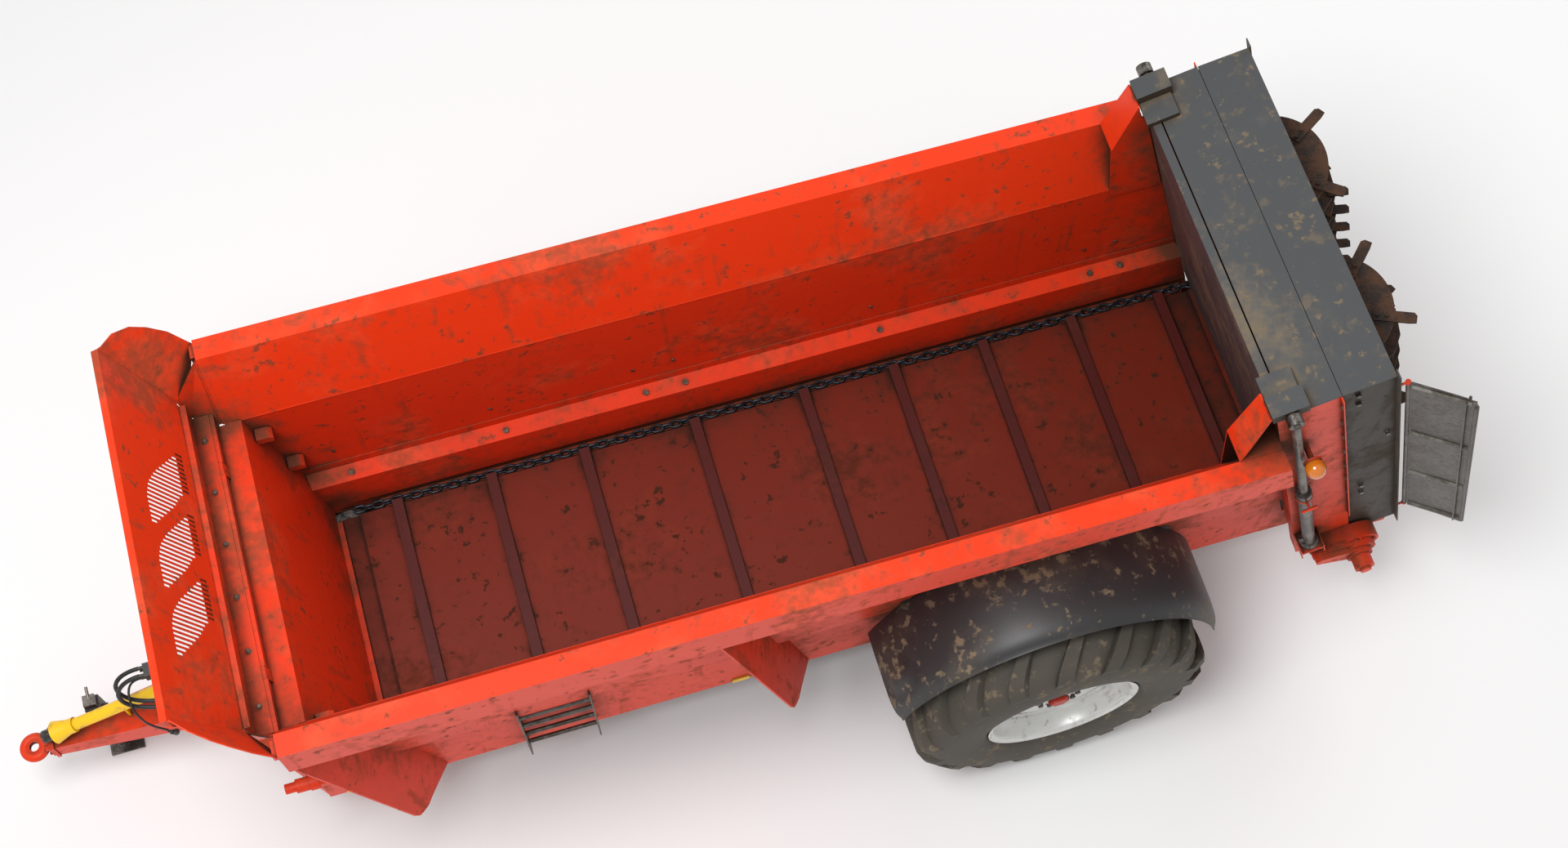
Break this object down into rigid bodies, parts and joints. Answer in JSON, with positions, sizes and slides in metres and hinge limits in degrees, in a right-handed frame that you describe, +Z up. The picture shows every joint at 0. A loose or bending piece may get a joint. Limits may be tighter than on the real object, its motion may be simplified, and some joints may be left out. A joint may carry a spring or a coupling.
{
  "type": "rear-discharge manure spreader trailer",
  "caption": "Single-axle manure spreader trailer: flared box with a chain and slat floor, lifting slurry door and two upright beaters behind it.",
  "frame": {"origin": "on the ground below the middle of the machine's length", "axes": "+X forward to the towing eye, +Y to the left side, +Z up"},
  "size_m": [7.367, 2.836, 2.9317],
  "materials": {
    "red_paint": "semi-gloss, weathered",
    "floor_red": "worn matt",
    "grey_paint": "matt with rust blotches",
    "rust_brown": "rusty",
    "black_plastic": "matt",
    "tyre": "dusty",
    "rim_silver": "satin silver",
    "hub_red": "satin",
    "yellow_plastic": "satin",
    "hose_rubber": "matt",
    "steel": "dull",
    "chain_steel": "blue-black",
    "galvanised": "dull zinc",
    "bolt_steel": "brown-grey",
    "amber_lamp": "glossy"
  },
  "bodies": {
    "frame": {"tow_eye": "red_paint", "drawbar": "red_paint", "chassis_rails": "red_paint", "cross_members": "red_paint", "axle_beam": "red_paint", "side_wall_left": "red_paint", "side_wall_right": "red_paint", "headboard": "red_paint", "front_screen": "red_paint", "screen_wings": "red_paint", "side_fins": "red_paint", "rear_sides": "red_paint", "corner_gussets": "red_paint", "beater_supports": "red_paint", "rear_brackets": "red_paint", "tensioners": "red_paint", "floor_gearbox": "red_paint", "chain_guards": "red_paint", "beater_gearboxes": "red_paint", "drop_gearbox": "red_paint", "floor_plate": "floor_red", "rear_cladding": "grey_paint", "hose_holder": "grey_paint", "fenders": "black_plastic", "cable_plug": "black_plastic", "parking_sleeve": "black_plastic", "pto_guard": "yellow_plastic", "reflectors": "yellow_plastic", "hose_upper": "hose_rubber", "hose_lower": "hose_rubber", "cable": "hose_rubber", "shaft_bearings": "steel", "cylinder_barrels": "steel", "ladder": "galvanised", "fender_stays": "galvanised", "wall_bolts": "bolt_steel", "lamp_dome": "amber_lamp"},
    "left_wheel": {"tyre_left": "tyre", "rim_left": "rim_silver", "hub_left": "hub_red"},
    "right_wheel": {"tyre_right": "tyre", "rim_right": "rim_silver", "hub_right": "hub_red"},
    "left_beater": {"beater_left": "rust_brown", "paddles_left": "rust_brown"},
    "right_beater": {"beater_right": "rust_brown", "paddles_right": "rust_brown"},
    "slurry_door": {"door": "grey_paint", "door_brackets": "grey_paint", "lift_rods": "steel"},
    "deflector": {"deflector_flap": "galvanised"},
    "stand_leg": {"parking_leg": "steel"},
    "input_shaft": {"pto_shaft": "steel"},
    "line_shaft": {"driveline": "steel"},
    "drive_axle": {"drive_shaft": "steel"},
    "idler_axle": {"idler_shaft": "steel"},
    "upper_run": {"slats_upper": "floor_red", "chain_upper": "chain_steel"},
    "lower_run": {"slats_lower": "floor_red", "chain_lower": "chain_steel"}
  },
  "joints": [
    {"name": "left_wheel_spin", "type": "hinge", "parent": "frame", "child": "left_wheel", "pos_m": [-1.4625, 1.118, 0.775], "axis": [0, 1, 0], "continuous": true},
    {"name": "right_wheel_spin", "type": "hinge", "parent": "frame", "child": "right_wheel", "pos_m": [-1.4625, -1.118, 0.775], "axis": [0, 1, 0], "continuous": true},
    {"name": "left_beater_spin", "type": "hinge", "parent": "frame", "child": "left_beater", "pos_m": [-3.07231, 0.387, 1.86818], "axis": [0.2672, 0, 0.9636], "continuous": true},
    {"name": "right_beater_spin", "type": "hinge", "parent": "frame", "child": "right_beater", "pos_m": [-3.07231, -0.387, 1.86818], "axis": [0.2672, 0, 0.9636], "continuous": true},
    {"name": "input_spin", "type": "hinge", "parent": "frame", "child": "input_shaft", "pos_m": [2.9905, 0, 0.85394], "axis": [0.9462, 0, -0.3236], "continuous": true},
    {"name": "line_spin", "type": "hinge", "parent": "frame", "child": "line_shaft", "pos_m": [-0.4625, 0, 0.556], "axis": [1, 0, 0], "continuous": true},
    {"name": "door_lift", "type": "slide", "parent": "frame", "child": "slurry_door", "axis": [0.2672, 0, 0.9636], "range_m": [0, 0.8]},
    {"name": "deflector_swing", "type": "hinge", "parent": "frame", "child": "deflector", "pos_m": [-2.9526, 0.893, 2.84989], "axis": [0.2672, 0, 0.9636], "range_deg": [-40, 35]},
    {"name": "leg_slide", "type": "slide", "parent": "frame", "child": "stand_leg", "axis": [0, 0, 1], "range_m": [0, 0.3]},
    {"name": "floor_feed", "type": "slide", "parent": "frame", "child": "upper_run", "axis": [-1, 0, 0], "range_m": [0, 0.1]},
    {"name": "floor_return", "type": "slide", "parent": "frame", "child": "lower_run", "axis": [1, 0, 0], "range_m": [0, 0.1]},
    {"name": "drive_axle_turn", "type": "hinge", "parent": "frame", "child": "drive_axle", "pos_m": [-3.0225, 0, 0.79034], "axis": [0, -1, 0], "range_deg": [0, 43.85]},
    {"name": "idler_axle_turn", "type": "hinge", "parent": "frame", "child": "idler_axle", "pos_m": [1.7675, 0, 0.79034], "axis": [0, -1, 0], "range_deg": [0, 43.85]}
  ],
  "couplings": [
    {"joint": "right_beater_spin", "follows": "left_beater_spin", "ratio": -1},
    {"joint": "line_spin", "follows": "left_beater_spin", "ratio": 2.5},
    {"joint": "input_spin", "follows": "left_beater_spin", "ratio": 2.5},
    {"joint": "floor_return", "follows": "floor_feed", "ratio": 1},
    {"joint": "drive_axle_turn", "follows": "floor_feed", "rad_per_m": 7.6537},
    {"joint": "idler_axle_turn", "follows": "floor_feed", "rad_per_m": 7.6537}
  ]
}
